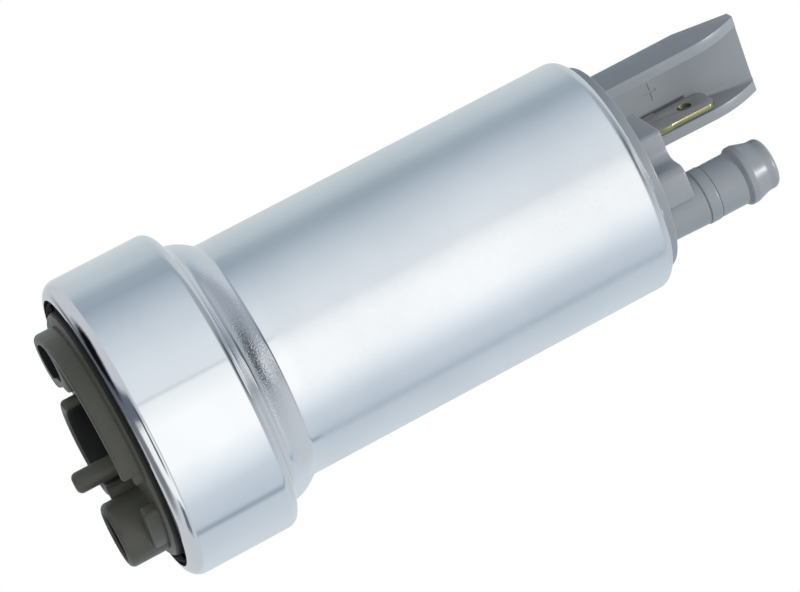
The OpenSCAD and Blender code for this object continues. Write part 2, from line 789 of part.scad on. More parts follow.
// One copper lead, from the brush's back up and over to the choke
module brush_lead(s) {
    bend = 0.8;
    end_x = -choke_x + choke_leg + choke_wire + seat_clear;
    path = concat(
        [[lead_x, s * brush_at, brush_top + 0.02]],
        [for (i = [0 : 4]) let (a = 90 * i / 4)
            [lead_x - bend + bend * cos(a), s * brush_at, lead_run_z - bend + bend * sin(a)]],
        [[end_x, s * brush_at, lead_run_z]]
    );
    placed() color([0.72, 0.4, 0.2]) wire(path, lead_r);
}

module positive_brush_lead() { brush_lead(1); }

module negative_brush_lead() { brush_lead(-1); }

module choke_cores() {
    placed() color([0.22, 0.21, 0.21]) for (s = [-1, 1])
        translate([-choke_x, s * choke_y, choke_base])
            cylinder(r = ferrite_r, h = choke_top - choke_base + 0.6);
}

// One choke: down around its ferrite core in close turns, and back up beside them to the brush lead
module choke_coil(s) {
    z1 = choke_top - 0.4;
    turns = choke_turns + 0.25;
    echo("choke coil, least gap", turn_gap(choke_low, z1, turns, choke_wire));
    coil = helix(choke_coil_r, z1, choke_low, turns, -90);
    low = coil[len(coil) - 1];
    path = concat(
        [[coil[0].x, coil[0].y, foot_z - 0.02]],
        [for (p = coil) p],
        [[choke_leg - 0.5, low.y, low.z - 0.1], [choke_leg, low.y, low.z + 0.5],
         [choke_leg, low.y, lead_run_z + lead_r]]
    );
    placed() color([0.75, 0.4, 0.2]) mirror([0, s < 0 ? 1 : 0, 0]) translate([-choke_x, choke_y, 0])
        wire(path, choke_wire);
}

module positive_choke_coil() { choke_coil(1); }

module negative_choke_coil() { choke_coil(-1); }

// A blade with cut corners and a latch hole, seen along the connector's width
module blade_outline(w, hole_r) {
    corner = w / 6;
    difference() {
        polygon([
            [0, conn_floor], [w, conn_floor], [w, blade_top - corner],
            [w - corner, blade_top], [corner, blade_top], [0, blade_top - corner]
        ]);
        translate([w / 2 + 0.4, blade_top - 4.2]) circle(r = hole_r, $fn = 48);
    }
}

// Positive blade with its shoulders, its shank through the cover and its foot on the choke
module positive_terminal() {
    shoulder_z = blade_top - 8.3;
    choke_end = choke_y - choke_coil_r;
    placed() color([0.78, 0.69, 0.32]) {
        translate([0, pos_y + blade_t, 0]) rotate([90, 0, 0]) linear_extrude(blade_t) {
            translate([-blade_back, 0]) blade_outline(blade_w, 1.2);
            translate([-blade_back - 0.2, conn_floor]) square([blade_w + 0.8, shoulder_z - conn_floor]);
            translate([-blade_mid - shank_w / 2, foot_z]) square([shank_w, conn_floor + 1 - foot_z]);
        }
        translate([-choke_x - foot_w / 2, pos_y, foot_z])
            cube([foot_w, choke_end + 0.6 - pos_y, foot_t]);
    }
}

// Negative blade, narrower so that the plug fits one way round only
module negative_terminal() {
    choke_end = -choke_y + choke_coil_r;
    placed() color([0.78, 0.69, 0.32]) {
        translate([0, neg_y + blade_t, 0]) rotate([90, 0, 0]) linear_extrude(blade_t) {
            translate([-blade2_back, 0]) blade_outline(blade2_w, 0.6);
            translate([-blade2_mid - shank2_w / 2, foot_z]) square([shank2_w, conn_floor + 1 - foot_z]);
        }
        translate([-choke_x - foot_w / 2, choke_end - 0.6, foot_z])
            cube([foot_w, neg_y + blade_t - choke_end + 0.6, foot_t]);
    }
}

// Footprint of the raised pads between the connector and the barb
module pad_outline() {
    intersection() {
        circle(r = neck_r - pad_inset);
        polygon([
            [pad_back, -pad_side], [pad_front - pad_cut, -pad_side],
            [pad_front, -pad_side + pad_cut], [pad_front, -valve_pad_side - pad_cove],
            [pad_front + pad_cove, -valve_pad_side], [neck_r, -valve_pad_side],
            [neck_r, 1.6], [barb_x, barb_y], [pad_back, barb_y]
        ]);
    }
}

// Footprint of the connector's floor and walls
module shroud_outline() {
    translate([-conn_back, conn_y - conn_side]) square([conn_back - conn_front, conn_w]);
}

// Hollow of the connector between its side walls, open to the front
module shroud_hollow(inset) {
    f = conn_fillet;
    half = conn_in - inset;
    back = -conn_inner + inset;
    translate([back + f, conn_y - half]) square([conn_back, 2 * half]);
    translate([back, conn_y - half + f]) square([conn_back, 2 * (half - f)]);
    for (s = [-1, 1]) translate([back + f, conn_y + s * (half - f)]) circle(r = f);
}

// Side view of the shroud: a leaning back and free edges that curve back to meet it
module shroud_side() {
    steps = 8;
    polygon(concat(
        [[-conn_back, deck_top - 1], [-conn_front, deck_top - 1], [-conn_front, sweep_from]],
        [for (i = [1 : steps]) let (t = i / steps)
            [-conn_front - sweep * t * t, sweep_from + (conn_top - sweep_from) * t]],
        [[-conn_back + lean, conn_top], [-conn_back, lean_from]]
    ));
}

// The hollow leans forward more than the back does, so that it runs out at the end
module shroud_hollow_cut() {
    lean_angle = atan(inner_lean / (conn_top - lean_from));
    translate([0, 0, conn_floor]) linear_extrude(lean_from - conn_floor) shroud_hollow(0);
    intersection() {
        translate([-conn_back, conn_y - conn_side, lean_from]) cube([2 * conn_back, conn_w, conn_top]);
        translate([-conn_inner, 0, lean_from]) rotate([0, lean_angle, 0])
            translate([conn_inner, 0, -conn_back]) linear_extrude(conn_top) shroud_hollow(hair);
    }
}

// A hole for a terminal's shank through the cover
module shank_slot(x, w, y) {
    translate([x - w / 2 - seat_clear, y - seat_clear, deck_z - 1])
        cube([w + 2 * seat_clear, blade_t + 2 * seat_clear, conn_floor - deck_z + 2]);
}

// Outlet barb with its ring band, ridge and tip
module barb() {
    land_z = ridge_z + ridge_rise;
    fall_z = land_z + ridge_land;
    tip_z = fall_z + ridge_fall;
    rotate_extrude() polygon([
        [0, deck_top - 1], [barb_r - stem_taper, deck_top - 1], [barb_r, band_z], [barb_r + 0.1, band_z],
        [barb_r + 0.1, band_z + band_h], [barb_r, band_z + band_h], [barb_r, ridge_z],
        [ridge_r, land_z], [ridge_r, fall_z], [tip_r, tip_z], [tip_r, barb_top - 0.8],
        [tip_r - 0.6, barb_top], [0, barb_top]
    ]);
}

// Outlet cover with the connector shroud, the barb and the valve housings
module outlet_cover() {
    slot_depth = 0.25;
    placed() color(slate) difference() {
        union() {
            rotate_extrude() polygon([
                [0, holder_top], [shoulder_r, holder_top], [shoulder_r, shoulder_top],
                [neck_r, can_top - can_wall - seat_clear], [neck_r, deck_top], [0, deck_top]
            ]);
            translate([0, 0, deck_top - 1]) linear_extrude(pad_h + 1) pad_outline();
            translate([barb_x, barb_y, 0]) barb();
            difference() {
                intersection() {
                    translate([0, 0, deck_top - 1]) linear_extrude(conn_top) shroud_outline();
                    translate([0, conn_y + conn_side, 0]) rotate([90, 0, 0])
                        linear_extrude(conn_w) shroud_side();
                }
                shroud_hollow_cut();
            }
        }
        difference() {
            translate([0, 0, holder_top - 1]) cylinder(r = wiring_r, h = deck_z - holder_top + 1);
            for (s = [-1, 1]) translate([0, s * brush_at, holder_top + deck_z / 2])
                cube([tunnel_t + 2 * tunnel_wall, tunnel_w + 2 * tunnel_wall, deck_z], center = true);
        }
        seal_groove(shoulder_r, outlet_seal_z);
        translate([barb_x, barb_y, holder_top - 1])
            cylinder(r = barb_bore, h = guide_top - holder_top + 1);
        translate([barb_x, barb_y, guide_top - 1]) cylinder(r = tip_bore, h = barb_top);
        translate([relief_x, relief_y, deck_z - 1]) cylinder(r = relief_bore, h = relief_end - deck_z + 1);
        translate([relief_x, relief_y, relief_end - 1]) cylinder(r = relief_port, h = pad_h);
        shank_slot(-blade_mid, shank_w, pos_y);
        shank_slot(-blade2_mid, shank2_w, neg_y);
        for (size = [[slot_depth * 2, 3.2, 0.5], [slot_depth * 2, 0.5, 2.6]])
            translate([-conn_inner - slot_depth, conn_y - size.y / 2, conn_floor + 10.2 - size.z / 2])
                cube(size);
    }
}

module outlet_cover_seal() {
    placed() color([0.08, 0.08, 0.08])
        o_ring(shoulder_r - seal_groove_d + seal_gap + seal_wire, outlet_seal_z + seal_groove_w / 2);
}

// Seat ring of the outlet check valve
module check_valve_seat() {
    placed() color([0.8, 0.7, 0.4]) translate([barb_x, barb_y, 0])
        sleeve(barb_bore - seat_clear, check_port, check_z, check_z + check_seat_h);
}

// Poppet that closes the outlet when the pump stops
module check_valve_poppet() {
    placed() color([0.2, 0.2, 0.2]) translate([barb_x, barb_y, head_z]) rotate_extrude() polygon([
        [0, 0], [check_head_r, 0], [check_head_r, head_h * 0.5], [check_stem_r + 0.6, head_h],
        [check_stem_r, head_h], [check_stem_r, guide_top - 0.5 - head_z], [0, guide_top - 0.5 - head_z]
    ]);
}

module check_valve_spring() {
    turns = 5;
    z0 = head_z + head_h + check_wire + 0.02;
    z1 = guide_z - check_wire - 0.02;
    echo("check valve spring, least gap", turn_gap(z0, z1, turns, check_wire));
    placed() color([0.75, 0.76, 0.78]) translate([barb_x, barb_y, 0])
        wire(helix(check_stem_r + 0.45, z0, z1, turns), check_wire);
}

// Spoked guide for the poppet's stem
module check_valve_guide() {
    hub_out_r = check_stem_r + 0.95;
    ring_in = barb_bore - 0.6;
    placed() color([0.85, 0.85, 0.8]) translate([barb_x, barb_y, 0]) {
        sleeve(hub_out_r, check_stem_r + 0.1, guide_z, guide_top - seat_clear);
        sleeve(barb_bore - seat_clear, ring_in, guide_z, guide_top - seat_clear);
        for (i = [0 : 2]) rotate([0, 0, 120 * i]) translate([hub_out_r - 0.2, -0.4, guide_z])
            cube([ring_in - hub_out_r + 0.4, 0.8, guide_h - seat_clear]);
    }
}

module relief_valve_seat() {
    placed() color([0.8, 0.7, 0.4]) translate([relief_x, relief_y, 0])
        sleeve(relief_bore - seat_clear, relief_port, relief_seat_z, relief_seat_z + relief_seat_h);
}

module relief_valve_ball() {
    placed() color([0.85, 0.86, 0.88]) translate([relief_x, relief_y, ball_z]) sphere(r = ball_r, $fn = 48);
}

module relief_valve_spring() {
    turns = 3.5;
    coil_r = relief_bore - relief_wire - 0.25;
    z0 = ball_z + sqrt(ball_r * ball_r - pow(coil_r - relief_wire, 2)) + 0.1;
    z1 = relief_end - relief_wire - 0.02;
    echo("relief valve spring, least gap", turn_gap(z0, z1, turns, relief_wire));
    placed() color([0.75, 0.76, 0.78]) translate([relief_x, relief_y, 0])
        wire(helix(coil_r, z0, z1, turns), relief_wire);
}

motor_housing();
inlet_cover();
inlet_cover_seal();
thrust_button();
impeller();
impeller_ring();
pump_body();
lower_bearing();
motor_shaft();
armature_core();
slot_insulators();
armature_windings();
commutator_hub();
commutator_bars();
flux_ring();
magnet_north();
magnet_south();
magnet_clips();
brush_holder();
upper_bearing();
positive_brush();
negative_brush();
positive_brush_spring();
negative_brush_spring();
positive_brush_lead();
negative_brush_lead();
choke_cores();
positive_choke_coil();
negative_choke_coil();
positive_terminal();
negative_terminal();
outlet_cover();
outlet_cover_seal();
check_valve_seat();
check_valve_poppet();
check_valve_spring();
check_valve_guide();
relief_valve_seat();
relief_valve_ball();
relief_valve_spring();
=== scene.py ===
# In-tank fuel pump: the finished look of the can, both moulded covers, the blades and all that is inside.
# Sizes are in millimetres, with heights counted from the inlet rim of the can, until place() turns them
# into metres about the origin. +Z points to the outlet.
from math import acos, atan2, cos, degrees, hypot, pi, radians, sin

import bpy
from mathutils import Matrix, Vector


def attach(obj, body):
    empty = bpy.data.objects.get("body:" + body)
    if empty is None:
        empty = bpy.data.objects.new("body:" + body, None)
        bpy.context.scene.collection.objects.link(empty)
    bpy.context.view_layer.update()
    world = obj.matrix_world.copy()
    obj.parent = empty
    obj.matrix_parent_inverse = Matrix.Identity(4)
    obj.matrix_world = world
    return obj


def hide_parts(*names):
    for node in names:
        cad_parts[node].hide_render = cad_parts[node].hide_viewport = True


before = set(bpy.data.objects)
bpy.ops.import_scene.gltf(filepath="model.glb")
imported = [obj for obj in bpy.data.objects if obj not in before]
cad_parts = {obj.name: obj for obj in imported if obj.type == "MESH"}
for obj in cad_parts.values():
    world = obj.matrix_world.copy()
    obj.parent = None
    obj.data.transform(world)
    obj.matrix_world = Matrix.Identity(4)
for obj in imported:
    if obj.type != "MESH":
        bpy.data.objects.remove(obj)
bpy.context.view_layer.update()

MM = 0.001
RIM_TO_ORIGIN = 54.9
MERGE = 0.002 * MM
LATHE_STEPS = 192
SMOOTH_BELOW = radians(32)
END_ROUNDING_STEPS = 4
WORK = "work"  # name of a form that is joined to a piece or cut from it
FRONT, SIDE, UP = (1, 0, 0), (0, 1, 0), (0, 0, 1)
bpy.ops.object.select_all(action="DESELECT")


# Drawing and turning

def place(x, y, z):
    return Vector((x, y, z - RIM_TO_ORIGIN)) * MM


def arc(cx, cy, r, start, end, steps=8):
    """Points of an arc in a drawing, between two angles in degrees."""
    return [(cx + r * cos(radians(start + (end - start) * i / steps)),
             cy + r * sin(radians(start + (end - start) * i / steps))) for i in range(steps + 1)]


def polar(r, angle):
    return r * cos(radians(angle)), r * sin(radians(angle))


def rounded(points, radii, steps=5):
    """An open or closed outline whose corners are rounded; a radius of 0 keeps the corner."""
    made = []
    for i, (point, radius) in enumerate(zip(points, radii)):
        if not radius:
            made.append(point)
            continue
        here, before, after = Vector(point), Vector(points[i - 1]), Vector(points[(i + 1) % len(points)])
        a, b = (before - here).normalized(), (after - here).normalized()
        half = acos(max(-1, min(1, a.dot(b)))) / 2
        back = radius * cos(half) / sin(half)
        centre = here + (a + b).normalized() * radius / sin(half)
        first, last = here + a * back - centre, here + b * back - centre
        turn = atan2(first.x * last.y - first.y * last.x, first.dot(last))
        for k in range(steps + 1):
            c, s = cos(turn * k / steps), sin(turn * k / steps)
            made.append((centre.x + first.x * c - first.y * s, centre.y + first.x * s + first.y * c))
    return made


def chain(name, points):
    """A line of edges drawn from point to point, left in edit mode."""
    bpy.ops.mesh.primitive_plane_add(size=MM)
    piece = bpy.context.object
    piece.name = piece.data.name = name
    bpy.ops.object.mode_set(mode="EDIT")
    bpy.ops.mesh.select_mode(type="VERT")
    bpy.ops.mesh.merge(type="CENTER")
    bpy.ops.transform.translate(value=points[0])
    for a, b in zip(points, points[1:]):
        bpy.ops.mesh.extrude_vertices_move(TRANSFORM_OT_translate={"value": b - a})
    bpy.ops.mesh.select_all(action="SELECT")
    return piece


def close_up():
    """Merges doubles, turns the faces outward and leaves edit mode."""
    bpy.ops.mesh.select_all(action="SELECT")
    bpy.ops.mesh.remove_doubles(threshold=MERGE)
    bpy.ops.mesh.normals_make_consistent(inside=False)
    bpy.ops.object.mode_set(mode="OBJECT")


def turned(name, profile, centre=(0, 0), steps=LATHE_STEPS, ring=False):
    """A profile of radius and height spun about a vertical axis. A ring's profile closes on itself."""
    drawn = profile + profile[:1] if ring else profile
    piece = chain(name, [place(centre[0] + r, centre[1], z) for r, z in drawn])
    bpy.ops.mesh.spin(steps=steps, angle=2 * pi, center=place(*centre, 0), axis=UP)
    close_up()
    return piece


def slab(name, points, thick):
    """A face through the points, pulled out by the vector thick."""
    piece = chain(name, points)
    bpy.ops.mesh.edge_face_add()
    bpy.ops.mesh.extrude_region_move(TRANSFORM_OT_translate={"value": thick})
    close_up()
    return piece


def prism(name, outline, low, high):
    return slab(name, [place(x, y, low) for x, y in outline], Vector((0, 0, high - low)) * MM)


def block(name, low, high):
    (x0, y0, z0), (x1, y1, z1) = low, high
    return prism(name, [(x0, y0), (x1, y0), (x1, y1), (x0, y1)], z0, z1)


def rod(name, centre, r, low, high, steps=48):
    return turned(name, [(0, low), (r, low), (r, high), (0, high)], centre, steps)


def curved_wall(r_in, r_out, start, end):
    """Outline of a wall that follows a circle and has round ends."""
    middle, half = (r_in + r_out) / 2, (r_out - r_in) / 2
    steps = max(8, int((end - start) / 3))
    return (arc(0, 0, r_out, start, end, steps)
            + arc(*polar(middle, end), half, end, end + 180, 10)[1:-1]
            + arc(0, 0, r_in, end, start, steps)
            + arc(*polar(middle, start), half, start + 180, start + 360, 10)[1:-1])


def edit(piece):
    bpy.ops.object.select_all(action="DESELECT")
    bpy.context.view_layer.objects.active = piece
    piece.select_set(True)


def add_modifier(piece, kind, **settings):
    edit(piece)
    bpy.ops.object.modifier_add(type=kind)
    modifier = piece.modifiers[-1]
    for key, value in settings.items():
        setattr(modifier, key, value)
    bpy.ops.object.modifier_apply(modifier=modifier.name)


def join(piece, *tools, operation="UNION"):
    for tool in tools:
        add_modifier(piece, "BOOLEAN", operation=operation, solver="EXACT", object=tool)
        bpy.data.objects.remove(tool)
    return piece


def cut(piece, *tools):
    return join(piece, *tools, operation="DIFFERENCE")


def soften(piece, width, segments, angle):
    """Rounds every edge that turns more than the angle."""
    add_modifier(piece, "BEVEL", width=width * MM, segments=segments, limit_method="ANGLE",
                 angle_limit=radians(angle), miter_outer="MITER_ARC", use_clamp_overlap=True)
    return piece


def soften_end(piece, height, width):
    """Rounds the edges of the face that lies at a height."""
    edit(piece)
    level = (height - RIM_TO_ORIGIN) * MM
    mesh = piece.data
    for part in (mesh.vertices, mesh.edges, mesh.polygons):
        part.foreach_set("select", [False] * len(part))
    for edge in mesh.edges:
        edge.select = all(abs(mesh.vertices[v].co.z - level) < MERGE for v in edge.vertices)
    bpy.ops.object.mode_set(mode="EDIT")
    bpy.ops.mesh.select_mode(type="EDGE")
    bpy.ops.mesh.bevel(offset=width * MM, segments=END_ROUNDING_STEPS, affect="EDGES", clamp_overlap=True)
    bpy.ops.object.mode_set(mode="OBJECT")
    return piece


def done(piece, node):
    """The finished piece stands for its CAD node, rides with the housing and is shaded smooth."""
    edit(piece)
    bpy.ops.object.mode_set(mode="EDIT")
    bpy.ops.mesh.select_all(action="SELECT")
    bpy.ops.mesh.remove_doubles(threshold=MERGE)
    bpy.ops.object.mode_set(mode="OBJECT")
    bpy.ops.object.shade_smooth_by_angle(angle=SMOOTH_BELOW)
    piece.data.materials.clear()
    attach(piece, "housing")
    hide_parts(node)
    return piece


# Can

def can_shell():
    """Stepped steel can: both rims rolled in, a rolled collar edge and a bulged neck."""
    outside = (arc(22.5, 2.3, 2.3, -90, 0, 18)
               + arc(22.9, 16.45, 1.9, 0, 80, 12)
               + rounded([(23.22, 18.33), (21.82, 18.72), (21.2, 21.3), (19.5, 23.65), (19.5, 30)],
                         [0, 1.5, 8.4, 1.0, 0], 12)[1:-1]
               + arc(17.5, 85.2, 2, 0, 90, 14))
    inside = (arc(17.5, 85.2, 0.8, 90, 0, 8)
              + [(18.3, 23.8)]
              + arc(16.5, 19.4, 4.1, 49, 0, 10)
              + [(20.6, 17.6), (22.9, 17.6), (23.6, 16.6)]
              + arc(22.5, 2.3, 1.1, 0, -90, 8))
    return turned("can_shell", outside + inside, ring=True)


# Inlet cover

NOZZLE_ANGLE = 56.7
NOZZLE = polar(13.8, NOZZLE_ANGLE)
NOZZLE_R, NOZZLE_BORE, NOZZLE_END = 5.3, 4.2, -7.35
POST = polar(5, 26)
POST_R, POST_END = 1.7, -9.2
WALL_R = 18.6
STEP_R = 20.5
HUB_IN, HUB_OUT = 6.3, 8.1
POCKET_IN, POCKET_OUT = 11.5, 17.1
LONG_WALL_END, LOW_WALL_END, POCKET_END, BLOCK_END, HUB_END = -3.985, -2.5, -4, -3.28, -5.1
POCKET_WALL, POCKET_FLOOR = 1.3, 2.4
END_ROUNDING = 0.6
SEAL_GROOVE = [(23.4, 3), (22.2, 3), (22.2, 4.6), (23.4, 4.6)]


def standing(outline, end, foot, rounding):
    """A form that stands on the cover's face, with its free end rounded."""
    return soften_end(prism(WORK, outline, end, foot), end, rounding)


def inlet_moulding():
    """Disc with the seal groove and button pocket, and on it the walls, pocket, block, nozzle and post."""
    cover = turned("inlet_moulding", rounded(
        [(0, -1), (19.7, -1), (STEP_R, -0.4), (STEP_R, 2.75), (23.4, 2.75), *SEAL_GROOVE,
         (23.4, 5.2), (3.05, 5.2), (3.05, 2), (0, 2)],
        [0, 0.8, 0.5] + [0] * 10, 6))
    long_wall = standing(curved_wall(16.9, WALL_R, -93, -7), LONG_WALL_END, 1, 0.45)
    low_end = standing(curved_wall(17.2, WALL_R - 0.2, -10, -1.5), LOW_WALL_END, 0.98, 0.35)
    pocket = prism(WORK, curved_wall(10, WALL_R, -126, -89), POCKET_END, 0.99)
    edit(pocket)
    for face in pocket.data.polygons:
        face.select = face.normal.z < -0.9
    bpy.ops.object.mode_set(mode="EDIT")
    bpy.ops.mesh.select_mode(type="FACE")
    bpy.ops.mesh.inset(thickness=POCKET_WALL * MM)
    bpy.ops.object.mode_set(mode="OBJECT")
    soften_end(pocket, POCKET_END, END_ROUNDING)
    hollow = soften_end(prism(WORK, curved_wall(POCKET_IN, POCKET_OUT, -120.5, -95), -5, POCKET_FLOOR),
                        POCKET_FLOOR, END_ROUNDING)
    block_inside = [polar(15.2 + 0.09 * i, 52 - 3.5 * i) for i in range(11)]
    corners = [0.8] + [0] * 9 + [0.8]
    raised = standing(rounded(arc(0, 0, WALL_R, 17, 52, 10) + block_inside, corners * 2, 6),
                      BLOCK_END, 0.98, END_ROUNDING)
    hub_wall = standing(curved_wall(HUB_IN, HUB_OUT, 58, 243), HUB_END, 0.97, END_ROUNDING)
    rib = block(WORK, (6.5, -0.65, HUB_END + 0.02), (9.5, 0.65, 0.96))
    edit(rib)
    bpy.ops.transform.rotate(value=-radians(NOZZLE_ANGLE), orient_axis="Z", center_override=(0, 0, 0))
    bpy.ops.object.transform_apply(location=True, rotation=True, scale=False)
    nozzle = turned(WORK, rounded([(0, NOZZLE_END), (NOZZLE_R, NOZZLE_END), (NOZZLE_R, 0.96), (0, 0.96)],
                                  [0, 0.95, 0, 0], 8), NOZZLE, 96)
    post = turned(WORK, rounded([(0, POST_END), (POST_R, POST_END), (POST_R, 0.95), (0, 0.95)],
                                [0, 0.9, 0, 0], 8), POST, 48)
    join(cover, long_wall, low_end, pocket, raised, hub_wall, rib, nozzle, post)
    bore = turned(WORK, [(0, -8)] + rounded([(NOZZLE_BORE + 0.5, -8), (NOZZLE_BORE, -7.0), (NOZZLE_BORE, 2), (0, 2)],
                                            [0, 0.5, 0, 0]), NOZZLE, 96)
    port = rod(WORK, polar(15.0, NOZZLE_ANGLE), 2.6, 1, 7)
    channel_end = NOZZLE_ANGLE + 310
    channel = prism(WORK, arc(0, 0, 20.2, NOZZLE_ANGLE, channel_end, 90)
                    + arc(0, 0, 16.7, channel_end, NOZZLE_ANGLE, 90), 3.6, 6)
    vent = rod(WORK, polar(18.1, 170), 0.6, -2, 4, 24)
    return cut(cover, hollow, bore, port, channel, vent)


# Outlet cover

BARB = polar(12.7, 24)
RELIEF = polar(13.35, -4.7)
CONNECTOR_Y = -2.15
SHROUD_BACK, SHROUD_FRONT, SHROUD_TOP = -15.4, -8.1, 118.35
LEAN, LEAN_FROM, END_WALL = 2.55, 109.3, 1.8
SWEEP, SWEEP_FROM = 2.95, 109
SHROUD_FOOT, SHROUD_FLOOR = 87.6, 92
FAR_CORNER_LEAN = 0.35
PAST_END = 1.2  # how far the hollow's cutter runs past the shroud's end, as a share of the leaning part


def shroud():
    """Three walls round the blades: the back leans in, thickens and meets the free edges at the end."""
    half, wall, back_wall, fillet = 6.65, 1.77, 1.1, 0.5
    swept = [(SHROUD_FRONT - SWEEP * (i / 20) ** 2, SWEEP_FROM + (SHROUD_TOP - SWEEP_FROM) * i / 20)
             for i in range(1, 21)]
    side = ([(SHROUD_BACK, SHROUD_FOOT), (SHROUD_FRONT, SHROUD_FOOT), (SHROUD_FRONT, SWEEP_FROM)] + swept
            + [(SHROUD_BACK + LEAN, SHROUD_TOP), (SHROUD_BACK, LEAN_FROM)])
    walls = slab(WORK, [place(x, CONNECTOR_Y - half, z) for x, z in side], Vector((0, 2 * half, 0)) * MM)
    inner = SHROUD_BACK + back_wall
    outline = rounded([(inner, CONNECTOR_Y - half + wall), (0, CONNECTOR_Y - half + wall),
                       (0, CONNECTOR_Y + half - wall), (inner, CONNECTOR_Y + half - wall)],
                      [fillet, 0, 0, fillet], 10)
    hollow = chain(WORK, [place(x, y, SHROUD_FLOOR) for x, y in outline])
    bpy.ops.mesh.edge_face_add()
    rise = LEAN_FROM - SHROUD_FLOOR
    bpy.ops.mesh.extrude_region_move(TRANSFORM_OT_translate={"value": Vector((0, 0, rise)) * MM})
    run = PAST_END * (SHROUD_TOP - LEAN_FROM)
    inner_lean = LEAN + END_WALL - back_wall - 0.15
    bpy.ops.mesh.extrude_region_move(TRANSFORM_OT_translate={"value": Vector((PAST_END * inner_lean, 0, run)) * MM})
    close_up()
    cut(walls, hollow)
    for vertex in walls.data.vertices:
        reach = (vertex.co.z / MM + RIM_TO_ORIGIN - SHROUD_FLOOR) / (SHROUD_TOP - SHROUD_FLOOR)
        if reach > 0 and vertex.co.y / MM > CONNECTOR_Y + half - wall - 0.1:
            vertex.co.y += FAR_CORNER_LEAN * MM * reach
    return soften(walls, 0.16, 2, 50)


def pads():
    """Raised pads beside the connector, with the hollow corner towards the barb."""
    outline = (rounded([(2.5, -8.35), (11.9, -8.35), (11.9, -5.2)], [0, 0.8, 0], 4)[:-1]
               + arc(13.5, -5.2, 1.6, 180, 90, 8)
               + arc(15.1, -1.9, 1.7, -90, -8, 8) + [(17.3, 1.6), BARB, (2.5, BARB[1])])
    pad = prism(WORK, outline, 87.5, 93.05)
    join(pad, rod(WORK, (0, 0), 17.2, 86, 95, 160), operation="INTERSECT")
    return soften(pad, 0.4, 4, 40)


def barb():
    """Hose barb with a low ring band, a ridge and a thinner tip."""
    return turned(WORK, rounded(
        [(0, 87.55), (4.1, 87.55), (4.3, 94.95), (4.24, 95.03), (4.24, 95.12), (4.42, 95.2), (4.45, 95.35),
         (4.45, 96.85), (4.42, 97.0), (4.24, 97.08), (4.24, 97.17), (4.34, 97.25), (4.35, 101.9),
         (4.88, 102.55), (4.88, 103.5), (4.15, 105.9), (4.15, 107.75), (0, 107.75)],
        [0] * 5 + [0.03, 0.1, 0.1, 0.03] + [0] * 3 + [0.12, 0.5, 1.2, 2.6, 0.85, 0], 8), BARB, 128)


def outlet_moulding():
    """Cover with its seal groove, pads, barb and shroud, bored for the valves and slotted for the blades."""
    cover = turned("outlet_moulding", rounded(
        [(0, 84.5), (15.6, 84.5), (15.6, 82), (18.15, 82), (18.15, 82.8), (16.95, 82.8), (16.95, 84.4),
         (18.15, 84.4), (18.15, 85.2), (17.35, 85.95), (17.35, 88.65), (0, 88.65)],
        [0, 0.3, 0, 0.2, 0, 0, 0, 0, 0.3, 0.1, 0.3, 0], 4))
    tunnels = [block(WORK, (-4.15, y - 3.4, 82.0), (4.15, y + 3.4, 84.8)) for y in (-8, 8)]
    join(cover, pads(), barb(), shroud(), *tunnels)
    valve_bore = turned(WORK, [(0, 80), (3.3, 80), (3.3, 104), (2.7, 104)]
                        + rounded([(2.7, 107.6), (3.0, 109), (0, 109)], [0.4, 0, 0]), BARB, 96)
    relief_bore = turned(WORK, [(0, 80), (1.9, 80), (1.9, 91.95), (1, 91.95), (1, 94), (0, 94)], RELIEF, 64)
    slots = [block(WORK, (x - half, y - 0.05, 83), (x + half, y + 0.85, 93))
             for x, half, y in ((-9.95, 2.05, 1.1), (-12.0, 1.05, -6.65))]
    mark_x, mark_z, mark_depth, stroke = SHROUD_BACK + 1.1, 102.2, 0.09, 0.34
    plus = [block(WORK, (mark_x - mark_depth, CONNECTOR_Y - w / 2, mark_z - h / 2),
                  (mark_x + 0.3, CONNECTOR_Y + w / 2, mark_z + h / 2)) for w, h in ((3.0, stroke), (stroke, 2.4))]
    return cut(cover, valve_bore, relief_bore, *slots, *plus)


# Blades

def blade(name, y, back, width, hole, shank, shoulder, foot):
    """Stamped blade: cut corners, a latch hole, its shank through the cover and a foot on the choke."""
    top, thick, corner = 109.75, 0.8, width / 6
    front = back + width
    tip = [(front, top - corner), (front - corner, top), (back + corner, top), (back, top - corner)]
    if shoulder:
        outline = [(back - 0.6, SHROUD_FLOOR), (front + 0.2, SHROUD_FLOOR), (front + 0.2, shoulder),
                   (front, shoulder)] + tip + [(back, shoulder), (back - 0.6, shoulder)]
        radii = [0, 0, 0.1, 0] + [0.5] * 4 + [0, 0.1]
    else:
        outline = [(back, SHROUD_FLOOR), (front, SHROUD_FLOOR)] + tip
        radii = [0, 0] + [0.2] * 4
    piece = slab(name, [place(x, y, z) for x, z in rounded(outline, radii, 4)], Vector((0, thick, 0)) * MM)
    middle = (back + front) / 2
    stem = block(WORK, (middle - shank / 2, y, 81.6), (middle + shank / 2, y + thick, SHROUD_FLOOR + 1))
    tab = block(WORK, (-11.8, foot[0], 81.6), (-9.8, foot[1], 82.4))
    hole_at = middle - 0.4
    drill = chain(WORK, [place(x, y - 1, z) for x, z in arc(hole_at, top - 4.2, hole, 0, 345, 23)])
    bpy.ops.mesh.edge_face_add()
    bpy.ops.mesh.extrude_region_move(TRANSFORM_OT_translate={"value": (0, 3 * MM, 0)})
    close_up()
    join(piece, stem, tab)
    return soften(cut(piece, drill), 0.07, 2, 50)


# Finishes

def wire_up(tree, kind, inputs=None, **settings):
    """Adds a node, sets its settings, and sets or links its inputs."""
    made = tree.nodes.new(kind)
    for key, value in settings.items():
        setattr(made, key, value)
    for key, value in (inputs or {}).items():
        if isinstance(value, bpy.types.NodeSocket):
            tree.links.new(value, made.inputs[key])
        else:
            made.inputs[key].default_value = value
    return made


